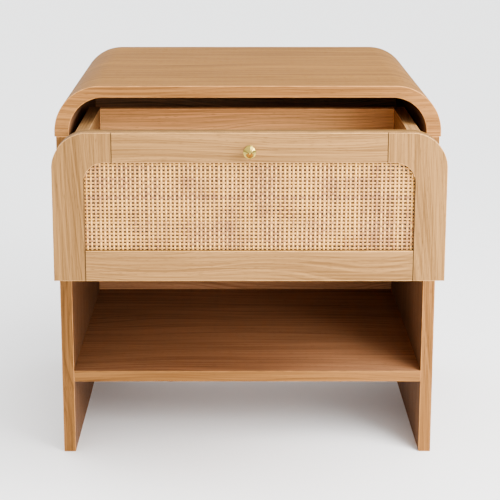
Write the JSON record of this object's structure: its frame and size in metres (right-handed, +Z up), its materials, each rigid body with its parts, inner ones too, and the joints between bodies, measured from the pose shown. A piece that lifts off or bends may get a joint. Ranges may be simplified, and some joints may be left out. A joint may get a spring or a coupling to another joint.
{
  "type": "nightstand",
  "caption": "Bedside cabinet with a bent top shell, panel legs, an open shelf bay and a sliding drawer with a framed woven-cane front and a small turned knob.",
  "frame": {"origin": "on the floor plane, at the centre of the whole part's bounding box as it rests with its drawer part way out; the cabinet's own front plane is at y = -0.075 and its back edges at y = 0.325", "axes": "+Z up, +Y towards the back, +X to the right seen from the front; the drawer opens along -Y"},
  "size_m": [0.5, 0.65, 0.5],
  "materials": {
    "oak_veneer": "satin lacquered oak veneer, natural tone, straight grain",
    "oak_front": "matt lacquered pale oak veneer on the drawer front",
    "oak_box": "matt oak foil on the drawer box and back panel",
    "cane": "natural woven cane, matt",
    "beech": "bare beech dowels and tongues",
    "brass": "polished",
    "steel": "bright zinc-plated rolled steel",
    "zinc": "dull zinc-plated fasteners and cams"
  },
  "bodies": {
    "carcass": {"back_panel": "oak_box", "back_screw_centre": "zinc", "back_screw_left": "zinc", "back_screw_right": "zinc", "divider_cam_bolt_left_back": "zinc", "divider_cam_bolt_left_front": "zinc", "divider_cam_bolt_right_back": "zinc", "divider_cam_bolt_right_front": "zinc", "divider_cam_left_back": "zinc", "divider_cam_left_front": "zinc", "divider_cam_right_back": "zinc", "divider_cam_right_front": "zinc", "divider_dowel_left": "beech", "divider_dowel_right": "beech", "divider_panel": "oak_veneer", "lower_cam_bolt_left_back": "zinc", "lower_cam_bolt_left_front": "zinc", "lower_cam_bolt_right_back": "zinc", "lower_cam_bolt_right_front": "zinc", "lower_cam_left_back": "zinc", "lower_cam_left_front": "zinc", "lower_cam_right_back": "zinc", "lower_cam_right_front": "zinc", "lower_dowel_left": "beech", "lower_dowel_right": "beech", "lower_shelf": "oak_veneer", "shell_tongue_left": "beech", "shell_tongue_right": "beech", "side_panel_left": "oak_veneer", "side_panel_right": "oak_veneer", "slide_cabinet_member_left": "steel", "slide_cabinet_member_right": "steel", "slide_cabinet_screw_left_back": "zinc", "slide_cabinet_screw_left_front": "zinc", "slide_cabinet_screw_right_back": "zinc", "slide_cabinet_screw_right_front": "zinc", "top_shell": "oak_veneer"},
    "drawer": {"cane_panel": "cane", "drawer_back": "oak_box", "drawer_bottom": "oak_box", "drawer_box_front": "oak_box", "drawer_knob": "brass", "drawer_side_left": "oak_box", "drawer_side_right": "oak_box", "front_bottom_rail": "oak_front", "front_core_board": "oak_front", "front_screw_left": "zinc", "front_screw_right": "zinc", "front_stile_left": "oak_front", "front_stile_right": "oak_front", "front_top_rail": "oak_front", "knob_screw": "zinc", "slide_drawer_member_left": "steel", "slide_drawer_member_right": "steel", "slide_drawer_screw_left_back": "zinc", "slide_drawer_screw_left_front": "zinc", "slide_drawer_screw_right_back": "zinc", "slide_drawer_screw_right_front": "zinc"},
    "slide_middle_left": {"slide_middle_member_left": "steel"},
    "slide_middle_right": {"slide_middle_member_right": "steel"}
  },
  "joints": [
    {"name": "drawer_slide", "type": "slide", "parent": "carcass", "child": "drawer", "axis": [0, -1, 0], "range_m": [-0.227, 0.113]},
    {"name": "left_slide_travel", "type": "slide", "parent": "carcass", "child": "slide_middle_left", "axis": [0, -1, 0], "range_m": [-0.1135, 0.0565]},
    {"name": "right_slide_travel", "type": "slide", "parent": "carcass", "child": "slide_middle_right", "axis": [0, -1, 0], "range_m": [-0.1135, 0.0565]}
  ],
  "couplings": [
    {"joint": "left_slide_travel", "follows": "drawer_slide", "ratio": 0.5},
    {"joint": "right_slide_travel", "follows": "drawer_slide", "ratio": 0.5}
  ]
}
